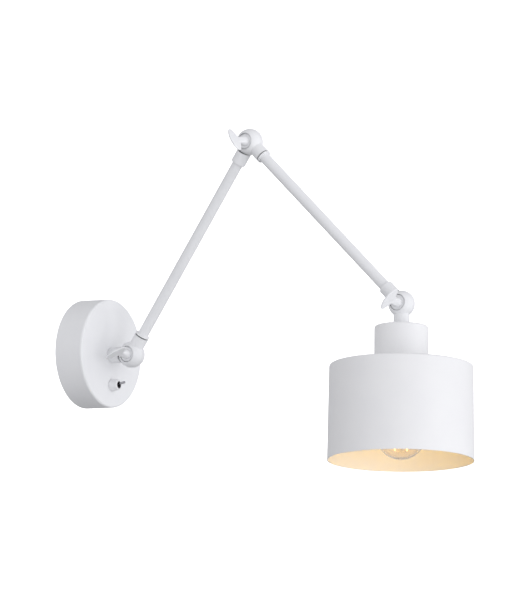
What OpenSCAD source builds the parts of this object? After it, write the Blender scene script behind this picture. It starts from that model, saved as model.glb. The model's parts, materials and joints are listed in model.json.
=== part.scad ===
// Swing arm wall sconce: canopy with toggle switch, two tube arms, three friction knuckles
// with thumb screws, and a drum shade with its lampholder and bulb.
// Millimetres. Origin: centre of the canopy's mounting face on the wall. +Y goes into the wall,
// +Z is up, and the lamp reaches out along -Y. The arms lie in the plane X = 0.

/* [Canopy] */
// Outer diameter of the canopy
canopy_d = 120; // [105:1:160]
// How far the canopy stands off the wall
canopy_depth = 35; // [31:1:60]
// Sheet thickness of the canopy
canopy_wall = 1.5; // [1:0.1:2.5]
// Rounding of the canopy's front edge
canopy_edge_r = 2.4; // [1.6:0.1:5]
// Distance of the stem below the canopy's centre
stem_drop = 2; // [0:0.5:6]

/* [Wall bracket] */
// Width of the steel bracket strap
strap_w = 24; // [20:1:34]
// Thickness of the bracket strap
strap_t = 1.5; // [1:0.1:3]
// Distance between the two wall screw slots
slot_spacing = 76; // [68:1:80]
// Width of a wall screw slot
slot_w = 5; // [4:0.5:6]
// Length of a wall screw slot, end to end
slot_len = 13; // [10:1:15]

/* [Arms] */
// Lower arm, pivot to pivot
lower_arm = 275; // [180:5:400]
// Upper arm, pivot to pivot
upper_arm = 268; // [180:4:400]
// Outer diameter of the arm tubes
tube_d = 12; // [10:0.5:13.5]
// Wall of the arm tubes
tube_wall = 1; // [0.8:0.1:1.5]
// Length of tube held inside a collar
tube_grip = 8; // [6:0.5:8]
// Thickness of the lock ring beside each swivel
lock_ring_t = 1.6; // [1:0.1:3]
// Thickness of the dark washer between a collar and its lock ring
swivel_washer_t = 1.2; // [0.6:0.1:2]

/* [Rest pose] */
// Rise of the lower arm above the horizontal, in degrees
lower_rise = 55.8; // [-50:0.1:95]
// Drop of the upper arm below the horizontal, in degrees
upper_drop = 43.8; // [-10:0.1:50]
// Turn of the head knuckle about the upper arm, in degrees
head_roll = -8; // [-15:1:15]
// Lean of the shade about its hinge away from the vertical, in degrees
head_lean = -2.6; // [-20:0.1:20]

/* [Knuckles] */
// Diameter of the ball that two knuckle halves make
ball_d = 29; // [27:0.5:35]
// Gap between the two mating faces
seam = 0.3; // [0.2:0.1:0.6]
// Gap between a collar and the ball half that turns in it, at the mating faces
ball_room = 0.5; // [0.3:0.1:1]
// How far that gap's own ball is set off, which widens the gap away from the mating faces
room_shift = 2.3; // [0:0.1:3]
// Diameter of the collars on the arm tubes
collar_d = 16.4; // [16:0.1:18]
// How much longer the collars on the nut's side are than those on the thumb screw's side
collar_step = 4.9; // [2:0.1:8]
// Diameter of the stems on the canopy and on the head
stem_d = 17.5; // [16:0.5:20]
// Base pivot from the canopy's face
stem_reach = 26.5; // [24:0.5:40]
// Top of the cup below the head pivot
head_stem = 24.2; // [24:0.1:40]

/* [Thumb screws] */
// Shank diameter of the thumb screws
screw_d = 5; // [4:0.5:6]
// Diameter of the round recess that the washer lies in
recess_d = 18; // [17:0.5:20]
// Metal between the wire pocket and that recess
recess_floor = 2.5; // [2:0.1:3.5]
// Width across flats of the pivot nuts
nut_af = 8; // [8:0.5:9]
// Length of the wing, tip to tip
wing_len = 27; // [20:1:32]
// Width of the wing along the screw
wing_w = 17; // [12:1:20]
// Thickness of the wing
wing_t = 2.2; // [1.6:0.1:3]
// Angle of the wings above the outward horizontal: base, elbow and head, in degrees
base_wing_angle = 21; // [-90:1:120]
elbow_wing_angle = 113.5; // [-90:0.5:120]
head_wing_angle = 46; // [-90:1:120]

/* [Switch] */
// Switch centre below the canopy's centre
switch_drop = 35; // [34:1:38]
// Base diameter of the switch bezel
bezel_d = 13.8; // [12:0.1:15]
// Front diameter of the switch bezel
bezel_front_d = 11.4; // [10:0.1:12]
// How far the bezel stands off the canopy
bezel_len = 9.8; // [9:0.1:12]
// Lever length from its pivot to its tip
lever_len = 14.2; // [12:0.1:16]
// Rest tilt of the lever above the horizontal, in degrees
lever_tilt = 12; // [8:1:14]

/* [Cup] */
// Outer diameter of the cup over the lampholder
cup_d = 58.5; // [52:0.5:70]
// Height of the cup
cup_h = 42.6; // [40:0.1:48]
// Sheet thickness of the cup
cup_wall = 1.2; // [0.8:0.1:2]
// Rounding of the cup's top edge
cup_edge_r = 2.8; // [2:0.1:8]

/* [Shade] */
// Diameter of the shade at the top
shade_top_d = 155; // [130:1:220]
// Diameter of the shade at the rim
shade_rim_d = 158; // [130:1:240]
// Height of the shade
shade_h = 103.7; // [95:0.1:160]
// Sheet thickness of the shade
shade_wall = 0.8; // [0.6:0.1:1.5]
// Rounding of the shade's top edge
shade_edge_r = 2.6; // [2:0.1:12]

/* [Bulb] */
// Diameter of the glass globe
bulb_d = 56; // [50:1:65]
// Length of the bulb with its cap
bulb_len = 105; // [98:1:120]
// Thickness of the glass
glass_t = 0.8; // [0.6:0.1:1.2]

/* [Hidden] */

fine = 96;            // facets of a visible round
small = 48;           // facets of a small round
fit_gap = 0.05;       // radial clearance of a close fit
loose_gap = 0.1;      // clearance of a loose fit
arc_steps = 8;        // straight steps in a rounded edge
huge = 400;           // longer than any cut needs to be

white = [0.93, 0.93, 0.94];
steel = [0.72, 0.73, 0.75];
brass = [0.80, 0.66, 0.34];
black = [0.10, 0.10, 0.11];

// Threaded tails that the stems end in
tail_r = 5;
tail_bore_r = 3.5;
tail_len = 12;
tail_washer_r = 9;
tail_nut_af = 14;

// Inside of a knuckle
ball_r = ball_d / 2;
shank_r = screw_d / 2;
pocket_r = 7.5;       // room for the wires around the shank
pocket_x = 5.5;       // its end, from the mating plane
recess_x = pocket_x + recess_floor;
nut_h = 4;
nut_x = pocket_x + 2.5;
nut_recess_r = 6;
tube_shoulder = 0.8;  // step that a tube's end meets in its collar
wire_bore_r = tube_d / 2 - tube_shoulder;
tube_clear = 0.6;     // from a tube's end to the ball half beside it
wing_collar = ball_r + tube_clear + tube_grip;  // collar ends, from the pivot
nut_collar = wing_collar + collar_step;
washer_out_r = 11.5;  // friction washer
washer_t = 1.6;
mouth_gap = 0.4;      // open ring around the tube in the fixed collar's end
mouth_depth = 1.5;
lip_r = 1.2;          // rounding of the fixed collar's end
crisp_r = 0.3;        // rounding of the other turned edges
stem_edge_r = 0.7;    // rounding where a stem meets its plate
tail_seat = 3;        // metal between a stem's bore and its tail

// Swivels: a grub screw in the collar runs in a groove half a turn long
grub_r = 1.5;
grub_tip_r = 1;
grub_back = 4;        // grub screw from the collar's end
groove_depth = 0.45;
groove_r = grub_tip_r + 0.1;

// Wires
wire_r = 0.8;
bundle_r = 1.5;       // wires from the middle of a tube
pocket_lane = [2.4, 2]; // wires beside the shank, from the mating plane and from each other
wire_end = 4.5;       // wires from the hinge axis
bend_start = ball_r + 1; // where they turn to the middle, from the hinge axis
bend_end = bend_start + 5;

// Pivots
base_pivot = [0, -(canopy_depth + stem_reach), -stem_drop];
lower_dir = [0, -cos(lower_rise), sin(lower_rise)];
elbow_pivot = base_pivot + lower_arm * lower_dir;
upper_dir = [0, -cos(upper_drop), -sin(upper_drop)];
head_pivot = elbow_pivot + upper_arm * upper_dir;

// Thumb screw, along its own axis from the mating plane
face_washer_t = 2.2;
face_washer_r = recess_d / 2 - 1.1;
boss_r = 5.4;
boss_end = recess_x + face_washer_t + 2.2;
shank_end = -(nut_x + nut_h + 0.6);
neck_r = 4.6;
wing_mid = boss_end + 1.6 + wing_w;
wing_bow = (pow(wing_len / 2, 2) + pow(wing_w / 2, 2)) / wing_w; // radius of the wing's two arcs

// Canopy inside
face_y = -canopy_depth;
inner_y = face_y + canopy_wall;
canopy_in_r = canopy_d / 2 - canopy_wall;
ear_out = canopy_in_r - 1.5;
ear_depth = 13;
set_screw_r = 2;
set_screw_y = -8;
cable_hole_r = 6;
cable_hole_z = -13;
earth_z = -25;
block_size = [30, 15, 17];
block_z = 14;
pole_pitch = 9;
pole_r = 1.9;
pole_depth = 6;       // wires in the block, from the bracket
pole_screw = 4.5;     // clamp screws above and below the block's middle

// Switch
switch_z = -switch_drop;
bushing_r = 3;
lever_depth = 6;      // its pivot behind the bezel's front
lever_pin_r = 0.6;
lever_pivot_y = face_y - bezel_len + lever_depth;
switch_box = [13, 12, 8];

// Head, measured down from the head pivot
cup_bottom = head_stem + cup_h;
plate_z = cup_bottom;
rim_z = cup_bottom + shade_h;
holder_r = 19.9;
holder_top = head_stem + 7;
skirt_top = holder_top + 18;
flange_r = 22.5;
flange_t = 2;
thread_r = 13.2;      // outside of the bulb's screw cap
insert_z = skirt_top + 8.5;
contact_gap = 6.5;    // from the insert to the bulb's contact
bulb_top = insert_z + contact_gap;
bulb_end = bulb_top + bulb_len;
cap_len = 26;
skirt_end = bulb_top + cap_len;
glass_top = bulb_top + cap_len - 2;
globe_r = bulb_d / 2;
globe_z = bulb_end - globe_r;
glass_neck_r = thread_r - 0.9;

// ---------- shared shapes ----------

// Points of a rounded corner about (cx, cy)
function corner(cx, cy, r, from, to) =
    [for (i = [0 : arc_steps]) let (a = from + (to - from) * i / arc_steps)
        [cx + r * cos(a), cy + r * sin(a)]];

// Point of a cubic curve
function bezier(p, t) =
    pow(1 - t, 3) * p[0] + 3 * t * pow(1 - t, 2) * p[1]
    + 3 * t * t * (1 - t) * p[2] + pow(t, 3) * p[3];

function unit(v) = v / norm(v);

// Points along a cubic curve
function curve(p, steps = 14) = [for (i = [0 : steps]) bezier(p, i / steps)];

// A round wire through the points of a path
module wire(path, r = 0.95, sides = 8) {
    last = len(path) - 1;
    points = [for (i = [0 : last])
        let (t = unit(path[min(i + 1, last)] - path[max(i - 1, 0)]),
             n = unit(cross(t, [0.31, 0.17, 0.93])), b = cross(t, n))
        for (k = [0 : sides - 1])
            path[i] + r * (cos(360 * k / sides) * n + sin(360 * k / sides) * b)];
    side_faces = [for (i = [0 : last - 1]) for (k = [0 : sides - 1])
        let (m = (k + 1) % sides)
        [i * sides + k, i * sides + m, (i + 1) * sides + m, (i + 1) * sides + k]];
    start_face = [[for (k = [sides - 1 : -1 : 0]) k]];
    end_face = [[for (k = [0 : sides - 1]) last * sides + k]];
    polyhedron(points, concat(start_face, side_faces, end_face));
}

// From 0 to 1 with level ends
function ease(t) = t * t * (3 - 2 * t);

// Three wires along +Z: beside the shank in the +X half of a knuckle, then down the middle
module bundle_from_pocket(end) {
    for (k = [-1 : 1]) {
        middle = bundle_r * [cos(120 * k), sin(120 * k)];
        lane = [pocket_lane.x, pocket_lane.y * k];
        bend = [for (i = [0 : 6]) let (t = i / 6, place = lane + (middle - lane) * ease(t))
            [place.x, place.y, bend_start + (bend_end - bend_start) * t]];
        wire(concat([[lane.x, lane.y, wire_end]], bend, [[middle.x, middle.y, end]]), wire_r);
    }
}

module hex_nut(af, h, bore_r) {
    difference() {
        cylinder(d = af / cos(30), h = h, $fn = 6);
        translate([0, 0, -1]) cylinder(r = bore_r, h = h + 2, $fn = small);
    }
}

module ring(out_r, in_r, h) {
    difference() {
        cylinder(r = out_r, h = h, $fn = fine);
        translate([0, 0, -1]) cylinder(r = in_r, h = h + 2, $fn = small);
    }
}

// Places a child, drawn about the origin with the hinge along X and +Z along the given piece
module at_base(turn) translate(base_pivot) rotate([turn, 0, 0]) children();
module at_elbow(turn) translate(elbow_pivot) rotate([turn, 0, 0]) children();
module at_head(turn) {
    translate(head_pivot) rotate(a = head_roll, v = upper_dir) rotate([turn, 0, 0]) children();
}

module along_stem() at_base(270) children();
module along_lower() at_base(90 - lower_rise) children();
module back_lower() at_elbow(270 - lower_rise) children();
module along_upper() at_elbow(90 + upper_drop) children();
module back_upper() at_head(270 + upper_drop) children();
module along_head() at_head(180 + head_lean) children();

// Turns a child's +Z to the thumb screw's side, and its +X to the wing's direction
module screw_side() rotate([0, -90, 0]) children();

// Round stem or collar with a rounded far end
module round_bar(r, len, edge) {
    rotate_extrude($fn = fine)
        polygon(concat([[0, 0], [r, 0]], corner(r - edge, len - edge, edge, 0, 90), [[0, len]]));
}

// One half of a knuckle: half a ball about the origin with a collar along +Z.
// The thumb screw's half lies at -X and the nut's half at +X.
module knuckle_half(nut_side, bar_r, bar_len, edge, bore_len) {
    mirror([nut_side ? 1 : 0, 0, 0]) difference() {
        union() {
            sphere(r = ball_r, $fn = fine);
            round_bar(bar_r, bar_len, edge);
        }
        // the other half's room
        intersection() {
            translate([room_shift, 0, 0]) sphere(r = norm([ball_r + ball_room, room_shift]), $fn = fine);
            translate([-seam / 2, -huge / 2, -huge / 2]) cube([huge, huge, huge]);
        }
        screw_side() {
            // wire pocket, friction washer's seat and shank hole
            cylinder(r = pocket_r, h = pocket_x, $fn = small);
            cylinder(r = washer_out_r + loose_gap, h = washer_t / 2 + (nut_side ? 0 : fit_gap), $fn = fine);
            cylinder(r = shank_r + fit_gap, h = huge, $fn = small);
            if (nut_side) {
                translate([0, 0, nut_x]) cylinder(d = (nut_af + loose_gap) / cos(30), h = huge, $fn = 6);
                translate([0, 0, nut_x + nut_h]) cylinder(r = nut_recess_r, h = huge, $fn = small);
            } else {
                translate([0, 0, recess_x]) cylinder(d = recess_d, h = huge, $fn = fine);
            }
        }
        cylinder(r = wire_bore_r, h = bore_len, $fn = small);
    }
}

// Knuckle half with a fixed arm tube in its collar
module fixed_knuckle() {
    difference() {
        knuckle_half(true, collar_d / 2, nut_collar, lip_r, nut_collar - tube_grip);
        translate([0, 0, nut_collar - tube_grip]) cylinder(d = tube_d + 2 * fit_gap, h = huge, $fn = fine);
        translate([0, 0, nut_collar - mouth_depth])
            cylinder(d = tube_d + 2 * mouth_gap, h = huge, $fn = fine);
    }
}

// Knuckle half in whose collar an arm tube swivels
module swivel_knuckle() {
    difference() {
        knuckle_half(false, collar_d / 2, wing_collar, crisp_r, wing_collar - tube_grip);
        translate([0, 0, wing_collar - tube_grip])
            cylinder(d = tube_d + 2 * loose_gap, h = huge, $fn = fine);
        translate([0, 0, wing_collar - grub_back]) rotate([0, 90, 0])
            cylinder(r = grub_r + fit_gap, h = huge, $fn = small);
    }
}

// Knuckle half whose stem ends in a hollow threaded tail
module stem_half(nut_side, len) {
    difference() {
        union() {
            knuckle_half(nut_side, stem_d / 2, len, stem_edge_r, len - tail_seat);
            translate([0, 0, len - 1]) cylinder(r = tail_r, h = tail_len + 1, $fn = small);
        }
        translate([0, 0, len - tail_seat - 1]) cylinder(r = tail_bore_r, h = huge, $fn = small);
    }
}

module swivel_washer() {
    translate([0, 0, wing_collar]) ring(collar_d / 2 - 0.9, tube_d / 2 + loose_gap, swivel_washer_t);
}

// Grub screw in the +X side of a collar, with its socket outside
module grub_screw() {
    translate([0, 0, wing_collar - grub_back]) rotate([0, 90, 0]) difference() {
        union() {
            translate([0, 0, tube_d / 2 - groove_depth + fit_gap])
                cylinder(r = grub_tip_r, h = 1, $fn = small);
            translate([0, 0, tube_d / 2 + 2 * loose_gap])
                cylinder(r = grub_r, h = collar_d / 2 - tube_d / 2 - 4 * loose_gap, $fn = small);
        }
        translate([0, 0, collar_d / 2 - 1.2]) cylinder(d = 1.6, h = 2, $fn = 6);
    }
}

module lock_ring() {
    out_r = collar_d / 2;
    in_r = tube_d / 2 + fit_gap;
    translate([0, 0, wing_collar + swivel_washer_t + fit_gap]) rotate_extrude($fn = fine)
        polygon(concat([[in_r, 0], [out_r, 0]],
                       corner(out_r - 0.6, lock_ring_t - 0.6, 0.6, 0, 90), [[in_r, lock_ring_t]]));
}

module arm_tube(arm) {
    start = wing_collar - tube_grip;
    end = arm - nut_collar + tube_grip;
    groove_z = wing_collar - grub_back;
    difference() {
        translate([0, 0, start]) ring(tube_d / 2, tube_d / 2 - tube_wall, end - start);
        // the grub screw's groove, on the +X side
        difference() {
            translate([0, 0, groove_z - groove_r])
                ring(tube_d / 2 + 1, tube_d / 2 - groove_depth, 2 * groove_r);
            translate([-huge - groove_r, -huge / 2, -huge / 2]) cube([huge, huge, 2 * huge]);
        }
    }
}

module arm_wires(arm) {
    translate([0, 0, arm]) mirror([0, 0, 1]) bundle_from_pocket(arm - wing_collar + tube_grip - 1);
}

module friction_washer() {
    screw_side() translate([0, 0, -washer_t / 2]) ring(washer_out_r, pocket_r, washer_t);
}

module pivot_nut() {
    mirror([1, 0, 0]) screw_side() translate([0, 0, nut_x]) hex_nut(nut_af, nut_h, shank_r + fit_gap);
}

module face_washer() {
    screw_side() translate([0, 0, recess_x + fit_gap]) ring(face_washer_r, shank_r + fit_gap, face_washer_t);
}

// Thumb screw with a leaf-shaped wing; +Z at this level points along the wing
module thumb_screw() {
    screw_side() {
        washer_end = recess_x + face_washer_t + fit_gap;
        neck_start = boss_end - 0.5;
        translate([0, 0, shank_end]) cylinder(r = shank_r, h = washer_end + 1 - shank_end, $fn = small);
        translate([0, 0, washer_end]) cylinder(r = boss_r, h = boss_end - washer_end, $fn = small);
        translate([0, 0, neck_start])
            cylinder(r1 = neck_r, r2 = neck_r * 0.72, h = wing_mid - wing_w / 4 - neck_start, $fn = small);
        translate([0, wing_t / 2, wing_mid]) rotate([90, 0, 0]) linear_extrude(wing_t)
            intersection_for (s = [-1, 1]) {
                translate([0, s * (wing_bow - wing_w / 2)]) circle(r = wing_bow, $fn = fine);
            }
    }
}

// ---------- wall side ----------

module wall_bracket() color(steel) {
    difference() {
        union() {
            translate([-strap_w / 2, -strap_t, -ear_out]) cube([strap_w, strap_t, 2 * ear_out]);
            for (s = [-1, 1]) {
                translate([-strap_w / 2, -ear_depth, s > 0 ? ear_out - strap_t : -ear_out])
                    cube([strap_w, ear_depth, strap_t]);
            }
        }
        straight = slot_len - slot_w;
        cut = strap_t + 2;
        for (s = [-1, 1]) translate([0, 1, s * slot_spacing / 2]) rotate([90, 0, 0]) {
            translate([-slot_w / 2, -straight / 2, 0]) cube([slot_w, straight, cut]);
            for (e = [-1, 1]) translate([0, e * straight / 2, 0]) cylinder(d = slot_w, h = cut, $fn = small);
        }
        translate([0, 1, cable_hole_z]) rotate([90, 0, 0]) cylinder(r = cable_hole_r, h = cut, $fn = small);
        screw_hole_r = set_screw_r + fit_gap;
        translate([0, 1, earth_z]) rotate([90, 0, 0]) cylinder(r = screw_hole_r, h = cut, $fn = small);
        translate([0, set_screw_y, -huge / 2]) cylinder(r = screw_hole_r, h = huge, $fn = small);
    }
}

module earth_screw() color(brass) translate([0, 0, earth_z]) rotate([90, 0, 0]) {
    cylinder(r = set_screw_r, h = strap_t, $fn = small);
    difference() {
        translate([0, 0, strap_t]) cylinder(r = 3.8, h = 2.6, $fn = small);
        translate([-huge / 2, -0.5, strap_t + 1.6]) cube([huge, 1, 3]);
    }
}

module terminal_block() color(white) difference() {
    translate([-block_size.x / 2, -strap_t - block_size.y, block_z - block_size.z / 2]) cube(block_size);
    for (s = [-1, 0, 1]) translate([s * pole_pitch, 0, 0]) {
        translate([0, -strap_t - pole_depth, block_z - huge / 2])
            cylinder(r = pole_r, h = huge, $fn = small);
        for (e = [-1, 1]) translate([0, -strap_t - pole_depth, block_z + e * pole_screw])
            rotate([90, 0, 0]) cylinder(r = pole_r + loose_gap, h = huge, $fn = small);
    }
}

module terminal_screws() color(brass) {
    for (s = [-1, 0, 1]) for (e = [-1, 1])
        translate([s * pole_pitch, -strap_t - pole_depth - 3, block_z + e * pole_screw])
            rotate([90, 0, 0]) difference() {
            cylinder(r = pole_r, h = 4, $fn = small);
            translate([-huge / 2, -0.3, 3.2]) cube([huge, 0.6, 3]);
        }
}

module canopy() color(white) difference() {
    rotate([90, 0, 0]) difference() {
        round_bar(canopy_d / 2, canopy_depth, canopy_edge_r);
        translate([0, 0, -1])
            round_bar(canopy_in_r, canopy_depth - canopy_wall + 1, canopy_edge_r - canopy_wall);
    }
    translate([0, 0, -stem_drop]) rotate([90, 0, 0]) cylinder(r = tail_r + loose_gap, h = huge, $fn = small);
    translate([0, 0, switch_z]) rotate([90, 0, 0])
        cylinder(r = bushing_r + loose_gap, h = huge, $fn = small);
    translate([0, set_screw_y, -huge / 2]) cylinder(r = set_screw_r + loose_gap, h = huge, $fn = small);
}

module canopy_set_screws() color(steel) for (s = [0, 180]) rotate([0, s, 0])
    translate([0, set_screw_y, ear_out - strap_t - 1]) difference() {
        cylinder(r = set_screw_r, h = canopy_d / 2 - 0.4 - (ear_out - strap_t - 1), $fn = small);
        translate([0, 0, canopy_d / 2 - ear_out + strap_t - 1]) cylinder(d = 2.3, h = 5, $fn = 6);
    }

module stem_knuckle() color(white) along_stem() stem_half(true, stem_reach);

module stem_washer() color(steel) along_stem()
    translate([0, 0, stem_reach + canopy_wall]) ring(tail_washer_r, tail_r + loose_gap, 1.2);

module stem_nut() color(brass) along_stem()
    translate([0, 0, stem_reach + canopy_wall + 1.2]) hex_nut(tail_nut_af, 3.5, tail_r + fit_gap);

module canopy_wires() color(black) {
    tail_y = base_pivot.y + stem_reach + tail_len;
    low = block_z - block_size.z / 2;
    pole_y = -strap_t - pole_depth;
    // switched line, neutral and earth in the stem
    along_stem() bundle_from_pocket(stem_reach + tail_len);
    // neutral: block to stem
    wire(curve([[pole_pitch, pole_y, low - 1], [pole_pitch, -14, low - 6],
                [1.6, tail_y + 3, -1], [1.6, tail_y + 0.5, -1]]));
    // switched line: stem to switch
    wire(curve([[-1.6, tail_y + 0.5, -3], [-1.6, tail_y + 6, -4],
                [-3, -14, switch_z + 12], [-3, -16.2, switch_z]]));
    // line: block to switch
    wire(curve([[0, pole_y, low - 1], [0, -9, -8], [3, -13, switch_z + 12], [3, -16.2, switch_z]]));
    // earth: block to bracket
    wire(curve([[-pole_pitch, pole_y, low - 1], [-12, -9, -6], [-12, -6, earth_z], [-4.9, -3.2, earth_z]]));
}

module switch_body() color(black)
    translate([-switch_box.x / 2, inner_y + 0.6, switch_z - switch_box.z / 2]) {
        cube(switch_box);
        for (s = [0.27, 0.73]) translate([s * switch_box.x - 0.5, switch_box.y, switch_box.z / 2 - 1])
            cube([1, 3.5, 2]);
    }

module switch_lock_nut() color(steel) translate([0, inner_y, switch_z]) rotate([-90, 0, 0]) {
    ring(5.2, bushing_r + fit_gap, 0.6);
}

module switch_bezel() color(white) translate([0, face_y, switch_z]) rotate([90, 0, 0]) difference() {
    rotate_extrude($fn = fine) polygon(concat(
        [[0, 0], [bezel_d / 2 - 0.5, 0], [bezel_d / 2, 0.5], [bezel_d / 2, 1]],
        corner(bezel_front_d / 2 - 1.6, bezel_len - 1.6, 1.6, 5, 90), [[0, bezel_len]]));
    translate([0, 0, -1]) cylinder(r = bushing_r + 1 + fit_gap, h = huge, $fn = small);
}

// Threaded bushing of the switch with its dark mouth
module switch_insert() color(black) translate([0, face_y, switch_z]) rotate([90, 0, 0]) difference() {
    union() {
        translate([0, 0, -canopy_wall - 0.6]) cylinder(r = bushing_r, h = canopy_wall + 1, $fn = small);
        cylinder(r = bushing_r + 1, h = bezel_len - 0.6, $fn = small);
    }
    translate([0, 0, bezel_len - 8.5]) cylinder(r = bushing_r - 0.35, h = huge, $fn = small);
    translate([-huge / 2, 0, bezel_len - lever_depth]) rotate([0, 90, 0])
        cylinder(r = lever_pin_r + fit_gap, h = huge, $fn = small);
}

module switch_lever() color(steel) translate([0, lever_pivot_y, switch_z]) rotate([90 - lever_tilt, 0, 0]) {
    tip_r = 1.45;
    sphere(r = 2, $fn = small);
    pin_half = bushing_r + 0.8;
    translate([-pin_half, 0, 0]) rotate([0, 90, 0]) cylinder(r = lever_pin_r, h = 2 * pin_half, $fn = small);
    cylinder(r1 = 1, r2 = tip_r, h = lever_len - tip_r, $fn = small);
    translate([0, 0, lever_len - tip_r]) sphere(r = tip_r, $fn = small);
}

// ---------- knuckles, arms and thumb screws ----------

module base_friction_washer() color(black) at_base(0) friction_washer();
module base_pivot_nut() color(steel) along_stem() pivot_nut();
module base_face_washer() color(white) at_base(0) face_washer();
module base_thumb_screw() color(white) at_base(90 - base_wing_angle) thumb_screw();

module lower_arm_base_knuckle() color(white) along_lower() swivel_knuckle();
module lower_arm_swivel_washer() color(black) along_lower() swivel_washer();
module lower_arm_grub_screw() color(steel) along_lower() grub_screw();
module lower_arm_lock_ring() color(white) along_lower() lock_ring();
module lower_arm_tube() color(white) along_lower() arm_tube(lower_arm);
module lower_arm_elbow_knuckle() color(white) back_lower() fixed_knuckle();
module lower_arm_wires() color(black) along_lower() arm_wires(lower_arm);

module elbow_friction_washer() color(black) at_elbow(0) friction_washer();
module elbow_pivot_nut() color(steel) back_lower() pivot_nut();
module elbow_face_washer() color(white) at_elbow(0) face_washer();
module elbow_thumb_screw() color(white) at_elbow(90 - elbow_wing_angle) thumb_screw();

module upper_arm_elbow_knuckle() color(white) along_upper() swivel_knuckle();
module upper_arm_swivel_washer() color(black) along_upper() swivel_washer();
module upper_arm_grub_screw() color(steel) along_upper() grub_screw();
module upper_arm_lock_ring() color(white) along_upper() lock_ring();
module upper_arm_tube() color(white) along_upper() rotate(head_roll) arm_tube(upper_arm);
module upper_arm_head_knuckle() color(white) back_upper() fixed_knuckle();
module upper_arm_wires() color(black) along_upper() rotate(head_roll) arm_wires(upper_arm);

module head_friction_washer() color(black) at_head(0) friction_washer();
module head_pivot_nut() color(steel) back_upper() pivot_nut();
module head_face_washer() color(white) at_head(0) face_washer();
module head_thumb_screw() color(white) at_head(90 - head_wing_angle) thumb_screw();

// ---------- head ----------

module head_knuckle() color(white) along_head() stem_half(false, head_stem);

module cup() color(white) along_head() difference() {
    translate([0, 0, cup_bottom]) mirror([0, 0, 1]) difference() {
        round_bar(cup_d / 2, cup_h, cup_edge_r);
        translate([0, 0, -1]) round_bar(cup_d / 2 - cup_wall, cup_h - cup_wall + 1, cup_edge_r - cup_wall);
    }
    cylinder(r = tail_r + loose_gap, h = head_stem + 3, $fn = small);
}

module cup_washer() color(steel) along_head()
    translate([0, 0, head_stem + cup_wall]) ring(tail_washer_r, tail_r + loose_gap, 1);

module cup_nut() color(brass) along_head()
    translate([0, 0, head_stem + cup_wall + 1]) hex_nut(tail_nut_af, 3, tail_r + fit_gap);

module head_wires() color(black) along_head() mirror([1, 0, 0]) bundle_from_pocket(head_stem + tail_len + 4);

module lampholder_cap() color(black) along_head() translate([0, 0, holder_top]) difference() {
    translate([0, 0, skirt_top - holder_top]) mirror([0, 0, 1])
        round_bar(holder_r - 0.6, skirt_top - holder_top, 5);
    translate([0, 0, 3]) cylinder(r = holder_r - 2.8, h = huge, $fn = fine);
    translate([0, 0, -1]) cylinder(r = tail_r + fit_gap, h = huge, $fn = small);
}

// Skirt of the lampholder: the shade hangs on its flange and the shade ring grips its thread
module lampholder_skirt() color(black) along_head() difference() {
    union() {
        translate([0, 0, skirt_top]) cylinder(r = holder_r, h = skirt_end - skirt_top, $fn = fine);
        translate([0, 0, plate_z - flange_t]) cylinder(r = flange_r, h = flange_t, $fn = fine);
    }
    translate([0, 0, skirt_top - 1]) cylinder(r = holder_r - 2.3, h = huge, $fn = fine);
}

module lampholder_insert() color(white) along_head() difference() {
    translate([0, 0, insert_z - 6]) cylinder(r = holder_r - 2.3 - fit_gap, h = 6, $fn = fine);
    for (s = [-1, 1]) translate([s * 8, 0, insert_z - 7]) cylinder(r = 1.6, h = 8, $fn = small);
}

module lampholder_thread() color(brass) along_head() difference() {
    translate([0, 0, insert_z]) cylinder(r = thread_r + 1.2, h = skirt_end - insert_z - 2, $fn = fine);
    translate([0, 0, insert_z - 1]) cylinder(r = thread_r + 0.35, h = huge, $fn = fine);
}

module lampholder_contact() color(brass) along_head() {
    translate([-2.5, -2, insert_z]) cube([10, 4, 0.6]);
    translate([0, 0, insert_z + 0.6]) cylinder(r = 2.5, h = bulb_top - insert_z - 0.6, $fn = small);
}

module shade() color(white) along_head() difference() {
    rotate_extrude($fn = fine) polygon(concat(
        [[0, plate_z]],
        corner(shade_top_d / 2 - shade_edge_r, plate_z + shade_edge_r, shade_edge_r, -90, 0),
        [[shade_rim_d / 2, rim_z], [shade_rim_d / 2 - shade_wall, rim_z]],
        corner(shade_top_d / 2 - shade_edge_r, plate_z + shade_edge_r, shade_edge_r - shade_wall, 0, -90),
        [[0, plate_z + shade_wall]]));
    translate([0, 0, plate_z - 1]) cylinder(r = holder_r + 0.2, h = 5, $fn = fine);
}

module shade_ring() color(black) along_head() translate([0, 0, plate_z + shade_wall]) difference() {
    union() {
        cylinder(r = 25.5, h = 2, $fn = fine);
        cylinder(r = 23.5, h = 8, $fn = fine);
    }
    translate([0, 0, -1]) cylinder(r = holder_r + fit_gap, h = 20, $fn = fine);
    for (a = [0 : 20 : 340]) rotate(a) translate([24.6, 0, 2]) cylinder(r = 1.9, h = 10, $fn = small);
}

module bulb_cap() color(steel) along_head() {
    rib = 0.55;
    pitch = 3.6;
    ribs = 5;
    root = thread_r - rib;
    difference() {
        union() {
            translate([0, 0, bulb_top + 4.5]) cylinder(r = root, h = cap_len - 4.5, $fn = fine);
            for (i = [0 : ribs - 1]) translate([0, 0, bulb_top + 6.4 + i * pitch])
                rotate_extrude($fn = fine) polygon([[root - 1, -1.2], [root, -1.2], [thread_r, 0],
                                                    [root, 1.2], [root - 1, 1.2]]);
            translate([0, 0, bulb_top + 2.2]) cylinder(r1 = 6.5, r2 = root, h = 2.3, $fn = fine);
        }
        translate([0, 0, bulb_top + 4.6]) cylinder(r = glass_neck_r + fit_gap, h = huge, $fn = fine);
        translate([0, 0, bulb_top]) cylinder(r = 5.2, h = 10, $fn = small);
    }
}

module bulb_contact() color(brass) along_head() {
    translate([0, 0, bulb_top]) cylinder(r = 4.4, h = 2, $fn = small);
    translate([0, 0, bulb_top + 2]) cylinder(r = 5.2, h = 4, $fn = small);
}

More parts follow.
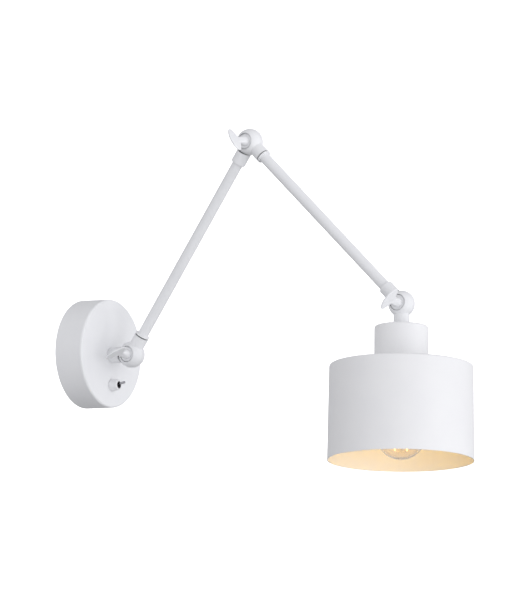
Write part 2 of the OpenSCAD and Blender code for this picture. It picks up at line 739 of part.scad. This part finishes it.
// Outline of the bulb: straight neck, hollow shoulder, then the round globe
function glass_outline(inset) = let (
        join = 28,
        neck = [glass_neck_r - inset, glass_top + 3],
        meet = [(globe_r - inset) * cos(join), globe_z - (globe_r - inset) * sin(join)],
        curve = [neck, neck + [0, 12], meet - 13 * [sin(join), cos(join)], meet])
    concat([[glass_neck_r - inset, bulb_top + 8]],
        [for (i = [0 : 12]) bezier(curve, i / 12)],
        [for (i = [1 : 23]) let (a = -join + (90 + join) * i / 24)
            [(globe_r - inset) * cos(a), globe_z + (globe_r - inset) * sin(a)]],
        [[0, bulb_end - inset]]);

module bulb_glass() color([0.95, 0.97, 1, 0.35]) along_head() rotate_extrude($fn = fine) {
    outer = glass_outline(0);
    inner = glass_outline(glass_t);
    polygon(concat(outer, [for (i = [len(inner) - 1 : -1 : 0]) inner[i]]));
}

// Glass foot that carries the filaments
module bulb_stem() color([0.9, 0.92, 0.95]) along_head() {
    foot_z = bulb_top + 10;
    rotate_extrude($fn = small) polygon(concat(
        [[0, foot_z], [8, foot_z], [6.5, foot_z + 6], [3, foot_z + 14]],
        corner(0, globe_z + 12, 2, 0, 90), [[0, foot_z]]));
}

module bulb_filaments() color([1, 0.85, 0.4]) along_head()
    for (a = [20 : 90 : 290]) rotate(a) translate([5, 0, globe_z - 18]) rotate([0, 7, 0])
        cylinder(r = 0.9, h = 36, $fn = small);

wall_bracket();
earth_screw();
terminal_block();
terminal_screws();
canopy();
canopy_set_screws();
stem_knuckle();
stem_washer();
stem_nut();
canopy_wires();
switch_body();
switch_lock_nut();
switch_bezel();
switch_insert();
switch_lever();
base_friction_washer();
base_pivot_nut();
base_face_washer();
base_thumb_screw();
lower_arm_base_knuckle();
lower_arm_swivel_washer();
lower_arm_grub_screw();
lower_arm_lock_ring();
lower_arm_tube();
lower_arm_elbow_knuckle();
lower_arm_wires();
elbow_friction_washer();
elbow_pivot_nut();
elbow_face_washer();
elbow_thumb_screw();
upper_arm_elbow_knuckle();
upper_arm_swivel_washer();
upper_arm_grub_screw();
upper_arm_lock_ring();
upper_arm_tube();
upper_arm_head_knuckle();
upper_arm_wires();
head_friction_washer();
head_pivot_nut();
head_face_washer();
head_thumb_screw();
head_knuckle();
cup();
cup_washer();
cup_nut();
head_wires();
lampholder_cap();
lampholder_skirt();
lampholder_insert();
lampholder_thread();
lampholder_contact();
shade();
shade_ring();
bulb_cap();
bulb_contact();
bulb_glass();
bulb_stem();
bulb_filaments();
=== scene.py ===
import json
import math
import bpy
import bmesh
from mathutils import Matrix, Vector


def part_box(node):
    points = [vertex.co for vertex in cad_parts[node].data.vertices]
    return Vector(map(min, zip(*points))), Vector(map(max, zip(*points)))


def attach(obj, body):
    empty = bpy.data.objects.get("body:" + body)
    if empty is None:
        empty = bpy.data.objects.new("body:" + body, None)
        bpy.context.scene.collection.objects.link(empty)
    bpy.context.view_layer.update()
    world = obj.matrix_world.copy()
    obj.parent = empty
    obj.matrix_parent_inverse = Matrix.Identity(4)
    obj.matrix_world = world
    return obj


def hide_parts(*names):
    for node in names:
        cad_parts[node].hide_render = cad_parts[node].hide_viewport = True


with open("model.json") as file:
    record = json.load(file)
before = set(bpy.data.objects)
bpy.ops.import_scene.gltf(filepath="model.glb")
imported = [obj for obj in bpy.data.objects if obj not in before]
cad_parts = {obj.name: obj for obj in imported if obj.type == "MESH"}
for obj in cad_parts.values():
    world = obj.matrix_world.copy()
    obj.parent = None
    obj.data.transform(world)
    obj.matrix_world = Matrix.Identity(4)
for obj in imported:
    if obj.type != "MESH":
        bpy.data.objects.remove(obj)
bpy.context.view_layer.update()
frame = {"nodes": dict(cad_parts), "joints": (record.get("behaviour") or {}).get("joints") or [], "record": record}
NODES = frame["nodes"]
JOINTS = {j["name"]: j for j in frame["joints"]}
MM = 0.001

# ---------------------------------------------------------------- material helpers

NOISE_LOW, NOISE_HIGH = 0.3, 0.7  # nearly all of a noise's values lie between these


class Look:
    """A new Principled material and short calls that add nodes to it."""

    def __init__(self, name):
        self.mat = bpy.data.materials.new(name)
        self.mat.use_nodes = True
        self.tree = self.mat.node_tree
        self.shader = self.tree.nodes["Principled BSDF"]
        self.coords = self.tree.nodes.new("ShaderNodeTexCoord").outputs["Object"]

    def node(self, kind):
        return self.tree.nodes.new(kind)

    def link(self, out, into):
        self.tree.links.new(out, into)

    def set(self, **values):
        for key, value in values.items():
            self.shader.inputs[key.replace("_", " ")].default_value = value

    def stretched(self, scale):
        """The coordinates scaled differently along X, Y and Z."""
        mapping = self.node("ShaderNodeMapping")
        mapping.inputs["Scale"].default_value = scale
        self.link(self.coords, mapping.inputs["Vector"])
        return mapping.outputs["Vector"]

    def noise(self, size, detail=2.0, rough=0.5, coords=None):
        """Noise whose features are about size metres across."""
        made = self.node("ShaderNodeTexNoise")
        made.inputs["Scale"].default_value = 1.0 / size
        made.inputs["Detail"].default_value = detail
        made.inputs["Roughness"].default_value = rough
        self.link(coords or self.coords, made.inputs["Vector"])
        return made.outputs["Fac"]

    def two_tone(self, value, dark, light, low=NOISE_LOW, high=NOISE_HIGH):
        """dark where value is low, light where it is high."""
        made = self.node("ShaderNodeValToRGB")
        for point, place, color in zip(made.color_ramp.elements, (low, high), (dark, light)):
            point.position = place
            point.color = (*color, 1.0)
        self.link(value, made.inputs["Fac"])
        return made.outputs["Color"]

    def spread(self, value, low, high):
        """A noise's values, brought to the range from low to high."""
        made = self.node("ShaderNodeMapRange")
        made.inputs["From Min"].default_value = NOISE_LOW
        made.inputs["From Max"].default_value = NOISE_HIGH
        made.inputs["To Min"].default_value = low
        made.inputs["To Max"].default_value = high
        self.link(value, made.inputs["Value"])
        return made.outputs["Result"]

    def bump(self, height, depth, strength=1.0, under=None):
        """A bumped normal, on top of the normal under where there is one."""
        made = self.node("ShaderNodeBump")
        made.inputs["Strength"].default_value = strength
        made.inputs["Distance"].default_value = depth
        self.link(height, made.inputs["Height"])
        if under is not None:
            self.link(under, made.inputs["Normal"])
        return made.outputs["Normal"]

    def surface(self, shader):
        self.link(shader, self.tree.nodes["Material Output"].inputs["Surface"])

    def finish(self, color=None, rough=None, normal=None):
        """The material, with these outputs linked to its shader."""
        for out, name in ((color, "Base Color"), (rough, "Roughness"), (normal, "Normal")):
            if out is not None:
                self.link(out, self.shader.inputs[name])
        return self.mat


def powder_coat(name, light, dark, grain=0.55 * MM, depth=0.05 * MM):
    """Satin white powder coat: orange peel, a finer grain and a very slight cloudiness."""
    look = Look(name)
    look.set(IOR=1.5, Specular_IOR_Level=0.35)
    color = look.two_tone(look.noise(size=28 * MM, detail=3.0), dark, light)
    rough = look.spread(look.noise(size=6 * MM), low=0.44, high=0.56)
    peel = look.bump(look.noise(size=2.4 * MM, detail=1.0), depth=0.04 * MM)
    normal = look.bump(look.noise(grain), depth, strength=0.6, under=peel)
    return look.finish(color, rough, normal)


def metal(name, light, dark, rough, patch=5 * MM, depth=0.01 * MM):
    """Metal with faint patches of tone and a fine unevenness."""
    look = Look(name)
    look.set(Metallic=1.0)
    fine = look.noise(size=0.5 * MM)
    patches = look.noise(patch, detail=4.0, rough=0.6)
    color = look.two_tone(patches, dark, light, low=0.32, high=0.68)
    return look.finish(color, look.spread(fine, low=rough * 0.75, high=rough * 1.3), look.bump(fine, depth))


def plastic(name, light, dark, rough, grain=0.4 * MM):
    """Moulded plastic or a wire's sleeve, with a fine grain."""
    look = Look(name)
    fine = look.noise(grain, detail=3.0)
    color = look.two_tone(look.noise(size=9 * MM), dark, light)
    uneven = look.spread(fine, low=rough * 0.85, high=rough * 1.15)
    return look.finish(color, uneven, look.bump(fine, depth=0.02 * MM))


def vulcanised_fibre():
    """Brown pressed fibre with drawn-out strands."""
    look = Look("vulcanised_fibre")
    strands = look.noise(size=1.2 * MM, detail=5.0, rough=0.7, coords=look.stretched((1, 0.2, 1)))
    color = look.two_tone(strands, dark=(0.16, 0.07, 0.03), light=(0.34, 0.18, 0.09))
    rough = look.spread(strands, low=0.6, high=0.8)
    return look.finish(color, rough, look.bump(strands, depth=0.05 * MM))


def clear_glass():
    """Slightly warm bulb glass that lets lamps through, with very slight ripples."""
    tint = (0.99, 0.955, 0.92, 1.0)
    look = Look("bulb_glass_clear")
    look.set(Transmission_Weight=1.0, IOR=1.45, Roughness=0.0, Base_Color=tint)
    look.finish(normal=look.bump(look.noise(size=14 * MM, detail=1.0), depth=0.02 * MM))
    clear = look.node("ShaderNodeBsdfTransparent")
    clear.inputs["Color"].default_value = tint
    path = look.node("ShaderNodeLightPath")
    mix = look.node("ShaderNodeMixShader")
    look.link(path.outputs["Is Shadow Ray"], mix.inputs["Fac"])
    look.link(look.shader.outputs["BSDF"], mix.inputs[1])
    look.link(clear.outputs["BSDF"], mix.inputs[2])
    look.surface(mix.outputs["Shader"])
    return look.mat


def glowing_phosphor():
    """Phosphor coat of a lit filament, grainy and a little uneven along its length."""
    look = Look("glowing_phosphor")
    grain = look.noise(size=0.6 * MM, detail=3.0)
    color = look.two_tone(grain, dark=(1.0, 0.50, 0.14), light=(1.0, 0.72, 0.34))
    look.set(Emission_Color=(1.0, 0.62, 0.20, 1.0), Emission_Strength=3.0)
    look.mat.cycles.emission_sampling = "NONE"
    rough = look.spread(grain, low=0.5, high=0.8)
    return look.finish(color, rough, look.bump(grain, depth=0.05 * MM))


def pale_floor():
    """Pale grey paint with a very slight mottle."""
    look = Look("pale_floor")
    color = look.two_tone(look.noise(size=0.8), dark=(0.78, 0.78, 0.78), light=(0.82, 0.82, 0.82))
    return look.finish(color, look.spread(look.noise(size=0.05), low=0.7, high=0.85))


def glowing_white():
    """White paint that also glows, so that it comes out white under any light."""
    look = Look("white_dome")
    paint = look.node("ShaderNodeBsdfDiffuse")
    paint.inputs["Color"].default_value = (0.8, 0.8, 0.8, 1.0)
    glow = look.node("ShaderNodeEmission")
    glow.inputs["Color"].default_value = (1.0, 1.0, 1.0, 1.0)
    glow.inputs["Strength"].default_value = 1.0
    both = look.node("ShaderNodeAddShader")
    look.link(paint.outputs["BSDF"], both.inputs[0])
    look.link(glow.outputs["Emission"], both.inputs[1])
    look.surface(both.outputs["Shader"])
    look.mat.cycles.emission_sampling = "NONE"
    return look.mat


COAT = powder_coat("white_powder_coat", light=(0.855, 0.86, 0.87), dark=(0.83, 0.835, 0.85))
SHADE_COAT = powder_coat("white_shade_coat", light=(0.87, 0.87, 0.875), dark=(0.85, 0.85, 0.86),
                         grain=0.7 * MM, depth=0.035 * MM)
ZINC = metal("zinc_plate", light=(0.62, 0.64, 0.66), dark=(0.46, 0.48, 0.52), rough=0.38)
CHROME = metal("chrome", light=(0.46, 0.46, 0.48), dark=(0.36, 0.36, 0.39), rough=0.14,
               patch=12 * MM, depth=0.002 * MM)
BRASS = metal("brass", light=(0.80, 0.60, 0.27), dark=(0.62, 0.43, 0.17), rough=0.30)
NICKEL = metal("nickel_cap", light=(0.72, 0.71, 0.69), dark=(0.58, 0.57, 0.55), rough=0.28)
BLACK = plastic("black_thermoset", light=(0.022, 0.022, 0.024), dark=(0.012, 0.012, 0.013), rough=0.42)
NYLON = plastic("white_nylon", light=(0.80, 0.79, 0.74), dark=(0.72, 0.71, 0.66), rough=0.5)
FIBRE = vulcanised_fibre()
GLASS = clear_glass()
PHOSPHOR = glowing_phosphor()
WIRE_COLORS = {
    "brown": plastic("wire_brown", light=(0.20, 0.08, 0.03), dark=(0.15, 0.06, 0.02), rough=0.45),
    "blue": plastic("wire_blue", light=(0.03, 0.10, 0.42), dark=(0.02, 0.07, 0.34), rough=0.45),
    "earth": plastic("wire_green", light=(0.22, 0.50, 0.05), dark=(0.70, 0.62, 0.03), rough=0.45,
                     grain=3 * MM),
}

SLOT_MATERIALS = {
    "powder_coat": COAT, "shade_coat": SHADE_COAT, "zinc_steel": ZINC, "chrome": CHROME, "brass": BRASS,
    "bulb_metal": NICKEL, "black_plastic": BLACK, "white_plastic": NYLON, "fibre": FIBRE,
    "wire_sleeve": WIRE_COLORS["brown"], "clear_glass": GLASS, "filament": PHOSPHOR,
}


def dress_cad_nodes():
    """Each carried-over CAD node takes the material of its slot."""
    slots = {s["node"]: s["material_slot"] for s in frame["record"]["subparts"]}
    for name, obj in NODES.items():
        obj.data.materials.clear()
        obj.data.materials.append(SLOT_MATERIALS[slots[name]])


def islands(mesh):
    """The polygons of a mesh as lists, one for each connected piece."""
    parent = list(range(len(mesh.vertices)))

    def root(index):
        while parent[index] != index:
            parent[index] = parent[parent[index]]
            index = parent[index]
        return index

    for edge in mesh.edges:
        a, b = (root(v) for v in edge.vertices)
        parent[a] = b
    groups = {}
    for polygon in mesh.polygons:
        groups.setdefault(root(polygon.vertices[0]), []).append(polygon)
    return list(groups.values())


def color_wires():
    """Line, neutral and earth wires get sleeves of their own colours."""
    for name in ("canopy_wires", "lower_arm_wires", "upper_arm_wires", "head_wires"):
        mesh = NODES[name].data
        mesh.materials.clear()
        for material in WIRE_COLORS.values():
            mesh.materials.append(material)
        for number, polygons in enumerate(islands(mesh)):
            for polygon in polygons:
                polygon.material_index = number % len(WIRE_COLORS)


# ---------------------------------------------------------------- shared mesh code

MERGE_DISTANCE = 0.002  # millimetres
ROUND = 2.0             # a ring's squareness where it is an ellipse


def new_object(name, shape, material):
    """The bmesh as an object of one material."""
    mesh = bpy.data.meshes.new(name)
    shape.to_mesh(mesh)
    shape.free()
    mesh.materials.append(material)
    made = bpy.data.objects.new(name, mesh)
    bpy.context.scene.collection.objects.link(made)
    return made


def coated_piece(name, shape, body, node):
    """The bmesh as a smooth powder-coated piece that rides on a body and stands for a CAD node."""
    bmesh.ops.remove_doubles(shape, verts=shape.verts, dist=MERGE_DISTANCE * MM)
    bmesh.ops.recalc_face_normals(shape, faces=shape.faces)
    piece = new_object(name, shape, COAT)
    piece.data.shade_smooth()
    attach(piece, body)
    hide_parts(node)


def bridge(shape, rings, closed=False):
    """Quads between rings of equal length; closed also joins the last ring to the first."""
    pairs = list(zip(rings, rings[1:]))
    if closed:
        pairs.append((rings[-1], rings[0]))
    for low, high in pairs:
        for k in range(len(low)):
            m = (k + 1) % len(low)
            shape.faces.new((low[k], low[m], high[m], high[k]))


def ring(shape, centre, side, other, half_side, half_other, points, squareness=ROUND):
    """New vertices round centre, half_side and half_other away along the unit vectors side and other."""
    made = []
    for k in range(points):
        angle = 2 * math.pi * k / points
        c, s = math.cos(angle), math.sin(angle)
        u = math.copysign(abs(c) ** (2 / squareness), c) * half_side
        v = math.copysign(abs(s) ** (2 / squareness), s) * half_other
        made.append(shape.verts.new(centre + side * u + other * v))
    return made


# ---------------------------------------------------------------- arm tubes

# Millimetres
TUBE_WALL = 1.0
TUBE_EDGE = 0.25
TUBE_RING_STEP = 8.0

TUBE_POINTS = 72
OFF_AXIS = Vector((0.31, 0.17, 0.93))  # a direction that neither tube runs along


def arm_tube(node, start_joint, end_joint, body):
    """Drawn steel tube with softened ends, from its place and size in the CAD model."""
    origin = Vector(JOINTS[start_joint]["pos_m"])
    along = (Vector(JOINTS[end_joint]["pos_m"]) - origin).normalized()
    side = along.cross(OFF_AXIS).normalized()
    other = along.cross(side)
    points = [vertex.co - origin for vertex in NODES[node].data.vertices]
    places = [point.dot(along) for point in points]
    start = min(places)
    end = max(places)
    outer = max((point - along * place).length for point, place in zip(points, places))
    inner = outer - TUBE_WALL * MM
    edge = TUBE_EDGE * MM
    rows = int((end - start) / (TUBE_RING_STEP * MM))
    body_rows = [start + edge + (end - start - 2 * edge) * i / rows for i in range(rows + 1)]
    outline = [(start, outer - edge)] + [(z, outer) for z in body_rows] + [(end, outer - edge)]
    outline += [(end, inner)] + [(z, inner) for z in reversed(body_rows)] + [(start, inner)]
    shape = bmesh.new()
    rings = [ring(shape, origin + along * z, side, other, r, r, TUBE_POINTS) for z, r in outline]
    bridge(shape, rings, closed=True)
    coated_piece(node + "_drawn", shape, body, node)


# ---------------------------------------------------------------- thumb screws

# Millimetres along the screw from the mating plane of its knuckle, as in the CAD model
SHANK_END = -12.6
WASHER_END = 10.25                                # the boss starts here
WING_START = 22.5
WING_END = 39.5
WING_MID = (WING_START + WING_END) / 2
NECK_SPAN = (WASHER_END + 0.8, WING_START - 1.0)  # the boss narrows to the neck
FLAT_SPAN = (WASHER_END + 1.0, WING_START + 2.4)  # it thins to the wing's thickness
FADE_SPAN = (WING_START + 1.5, WING_MID)          # the neck runs out inside the wing

# Millimetres across the screw
SHANK_R = 2.5
SHANK_CHAMFER = 0.4
BOSS_R = 5.4
BOSS_FOOT = ((0.0, 0.35), (0.1, 0.1), (0.35, 0.0))  # its rounded foot: steps along, and in from BOSS_R
NECK_DIP = 1.5                                      # how much slimmer the neck is than the boss
WING_LENGTH = 27.0
WING_THICKNESS = 2.2
WING_EDGE = 1.1                                     # the wing's outer edge thins over this distance

# Form of the wing
LEAF_FULLNESS = 2.15      # how long the outline keeps its full length
LEAF_BLUNTNESS = 0.56     # how blunt it ends
NECK_BLEND = 6            # how tightly the neck runs into the leaf
EDGE_LEFT = 0.25          # share of the thickness left at the outer edge
WING_SQUARENESS = 3.6

# Rings of vertices: those of the neck start NECK_FIRST mm after the washer, NECK_STEP mm apart
RING_POINTS = 56
NECK_FIRST = 0.7
NECK_STEP = 0.45
NECK_RINGS = 26
WING_RINGS = 25


def blend(start, end, share):
    return start + (end - start) * share


def smooth_step(low, high, value):
    """0 below low, 1 above high, and a smooth rise between them."""
    t = min(max((value - low) / (high - low), 0.0), 1.0)
    return t * t * (3 - 2 * t)


def screw_section(s):
    """Half length, half thickness and squareness of the screw's outline at s along its axis."""
    across = abs(s - WING_MID) / (WING_END - WING_MID)
    leaf = WING_LENGTH / 2 * max(1 - across ** LEAF_FULLNESS, 0.0) ** LEAF_BLUNTNESS
    neck = BOSS_R - NECK_DIP * smooth_step(*NECK_SPAN, s)
    neck = neck * (1 - smooth_step(*FADE_SPAN, s))
    half_length = (neck ** NECK_BLEND + leaf ** NECK_BLEND) ** (1 / NECK_BLEND)
    flat = smooth_step(*FLAT_SPAN, s)
    edge = min(max((WING_END - s) / WING_EDGE, 0.0), 1.0)
    rounding = blend(EDGE_LEFT, 1.0, math.sqrt(1 - (1 - edge) ** 2))
    half_thick = blend(BOSS_R, WING_THICKNESS / 2, flat) * rounding
    return half_length, half_thick, blend(ROUND, WING_SQUARENESS, flat)


def screw_outline():
    """(place, half length, half thickness, squareness) of each ring, from the shank's end to the wing's."""
    rounds = [(SHANK_END, SHANK_R - SHANK_CHAMFER), (SHANK_END + SHANK_CHAMFER, SHANK_R),
              (WASHER_END, SHANK_R)]
    rounds += [(WASHER_END + step, BOSS_R - inset) for step, inset in BOSS_FOOT]
    neck = [WASHER_END + NECK_FIRST + NECK_STEP * i for i in range(NECK_RINGS)]
    quarter = math.pi / 2 / (WING_RINGS - 1)
    wing = [blend(WING_START, WING_END, math.sin(quarter * i)) for i in range(WING_RINGS)]
    return [(s, r, r, ROUND) for s, r in rounds] + [(s, *screw_section(s)) for s in neck + wing]


def thumb_screw(node, joint, body):
    """Screw with a leaf-shaped wing that grows out of its round boss."""
    origin = Vector(JOINTS[joint]["pos_m"])
    along = Vector(JOINTS[joint]["axis"]).normalized()
    points = [vertex.co - origin for vertex in NODES[node].data.vertices]
    if sum(point.dot(along) for point in points) < 0:
        along = -along
    tip = max((point - along * point.dot(along) for point in points), key=lambda p: p.length)
    wing = tip.normalized()
    thick = along.cross(wing)
    shape = bmesh.new()
    rings = [ring(shape, origin + along * s * MM, wing, thick, length * MM, thickness * MM,
                  RING_POINTS, squareness)
             for s, length, thickness, squareness in screw_outline()]
    bridge(shape, rings)
    shape.faces.new(list(reversed(rings[0])))
    shape.faces.new(rings[-1])
    coated_piece(node + "_cast", shape, body, node)


# ---------------------------------------------------------------- room, lights and camera

# Sizes and distances in metres, power in watts
VIEW_AZIMUTH = math.radians(-57.6)
VIEW_ELEVATION = math.radians(-4.36)
VIEW_DISTANCE = 7.0
FRAME_SHIFT = (0.19945, 0.06068)  # from the frame's origin to the picture's centre, right and up
PICTURE_HEIGHT = 600
METRES_PER_POINT = 0.001109       # what a point of the picture spans at that distance
SENSOR = 36.0                     # millimetres
CLIP_END = 50.0
DOME_R = 20.0
FLOOR_HALF = 5.0
FLOOR_Z = -1.3
SOFT_BOX_COLOR = (0.972, 0.974, 1.0, 1.0)
SOFT_BOX_FOCUS = 4.0              # the power of the cosine by which a soft box fades to its sides
BULB_POWER = 0.056
BULB_COLOR = (1.0, 0.62, 0.03)
BULB_GLOW_R = 12 * MM
GLOBE_R = 28 * MM

# Soft boxes around the lamp: direction as (to the camera, right, up), and brightness
SOFT_BOXES = [
    ((1, 1, 0), 1.97), ((0, 1, 0), 0.56), ((1, -1, 0), 0.94), ((1, 0, -1), 0.46), ((0, 1, 1), 0.57),
    ((0, -1, 1), 0.82), ((0, 0, 1), 0.26), ((-1, 0, 0), 0.50), ((-1, 1, 0), 0.35), ((-1, -1, 0), 0.35),
]


def view_axes():
    """Unit vectors from the object to the camera, and to the picture's right and its top."""
    level = math.cos(VIEW_ELEVATION)
    back = Vector((math.sin(VIEW_AZIMUTH) * level, -math.cos(VIEW_AZIMUTH) * level,
                   math.sin(VIEW_ELEVATION)))
    right = Vector((math.cos(VIEW_AZIMUTH), math.sin(VIEW_AZIMUTH), 0.0))
    return back, right, back.cross(right)


def make_camera():
    """The camera at the photograph's angle. Its sensor spans the picture's longer side, the height."""
    back, right, up = view_axes()
    data = bpy.data.cameras.new("camera")
    data.sensor_width = SENSOR
    data.lens = SENSOR * VIEW_DISTANCE / (METRES_PER_POINT * PICTURE_HEIGHT)
    data.clip_end = CLIP_END
    camera = bpy.data.objects.new("camera", data)
    bpy.context.scene.collection.objects.link(camera)
    place = back * VIEW_DISTANCE + right * FRAME_SHIFT[0] + up * FRAME_SHIFT[1]
    camera.matrix_world = Matrix.Translation(place) @ Matrix((right, up, back)).transposed().to_4x4()
    bpy.context.scene.camera = camera


def make_room():
    """Soft studio light from a ring of large soft boxes."""
    world = bpy.data.worlds.new("studio")
    bpy.context.scene.world = world
    world.use_nodes = True
    tree = world.node_tree
    tree.nodes.clear()
    axes = view_axes()

    def math_node(operation, a, b):
        made = tree.nodes.new("ShaderNodeMath")
        made.operation = operation
        for socket, value in zip(made.inputs, (a, b)):
            if isinstance(value, float):
                socket.default_value = value
            else:
                tree.links.new(value, socket)
        return made.outputs["Value"]

    coords = tree.nodes.new("ShaderNodeTexCoord").outputs["Generated"]
    total = 0.0
    for parts, brightness in SOFT_BOXES:
        dot = tree.nodes.new("ShaderNodeVectorMath")
        dot.operation = "DOT_PRODUCT"
        direction = sum((axis * part for axis, part in zip(axes, parts)), Vector())
        dot.inputs[1].default_value = direction.normalized()
        tree.links.new(coords, dot.inputs[0])
        facing = math_node("MAXIMUM", dot.outputs["Value"], 0.0)
        box = math_node("MULTIPLY", math_node("POWER", facing, SOFT_BOX_FOCUS), brightness)
        total = math_node("ADD", box, total)
    soft = tree.nodes.new("ShaderNodeBackground")
    soft.inputs["Color"].default_value = SOFT_BOX_COLOR
    tree.links.new(total, soft.inputs["Strength"])
    out = tree.nodes.new("ShaderNodeOutputWorld")
    tree.links.new(soft.outputs["Background"], out.inputs["Surface"])


def make_floor():
    """A wide pale floor well under the lamp, out of the picture, that takes no light away."""
    shape = bmesh.new()
    place = Matrix.Translation((0, 0, FLOOR_Z))
    bmesh.ops.create_grid(shape, x_segments=8, y_segments=8, size=FLOOR_HALF, matrix=place)
    floor = new_object("floor", shape, pale_floor())
    floor.visible_diffuse = False
    floor.visible_shadow = False


def make_dome():
    """The white background, a lit dome that only the camera sees.

    An evenly white background would leave grain on the arm tubes after the render's denoising.
    """
    shape = bmesh.new()
    bmesh.ops.create_icosphere(shape, subdivisions=4, radius=DOME_R)
    bmesh.ops.reverse_faces(shape, faces=shape.faces)
    dome = new_object("dome", shape, glowing_white())
    dome.visible_diffuse = False
    dome.visible_glossy = False
    dome.visible_transmission = False
    dome.visible_shadow = False


def globe_centre():
    """The middle of the bulb's round end, found from its lowest point and the head's axis."""
    low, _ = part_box("bulb_glass")
    contact = sum(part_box("bulb_contact"), Vector()) / 2
    down = (contact - Vector(JOINTS["head_tilt"]["pos_m"])).normalized()
    reach = (low.z - contact.z) / down.z
    return contact + down * (reach - GLOBE_R)


def make_bulb_light():
    """The warm light of the lit bulb, which moves with the head."""
    data = bpy.data.lights.new("bulb_light", "POINT")
    data.energy = BULB_POWER
    data.color = BULB_COLOR
    data.shadow_soft_size = BULB_GLOW_R
    lamp = bpy.data.objects.new("bulb_light", data)
    bpy.context.scene.collection.objects.link(lamp)
    lamp.location = globe_centre()
    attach(lamp, "head")


make_camera()
dress_cad_nodes()
color_wires()
arm_tube("lower_arm_tube", "base_tilt", "elbow_tilt", "lower_arm")
arm_tube("upper_arm_tube", "elbow_tilt", "head_tilt", "upper_arm")
thumb_screw("base_thumb_screw", "base_screw_turn", "base_screw")
thumb_screw("elbow_thumb_screw", "elbow_screw_turn", "elbow_screw")
thumb_screw("head_thumb_screw", "head_screw_turn", "head_screw")
make_room()
make_floor()
make_dome()
make_bulb_light()
bpy.context.scene.view_settings.view_transform = "Standard"
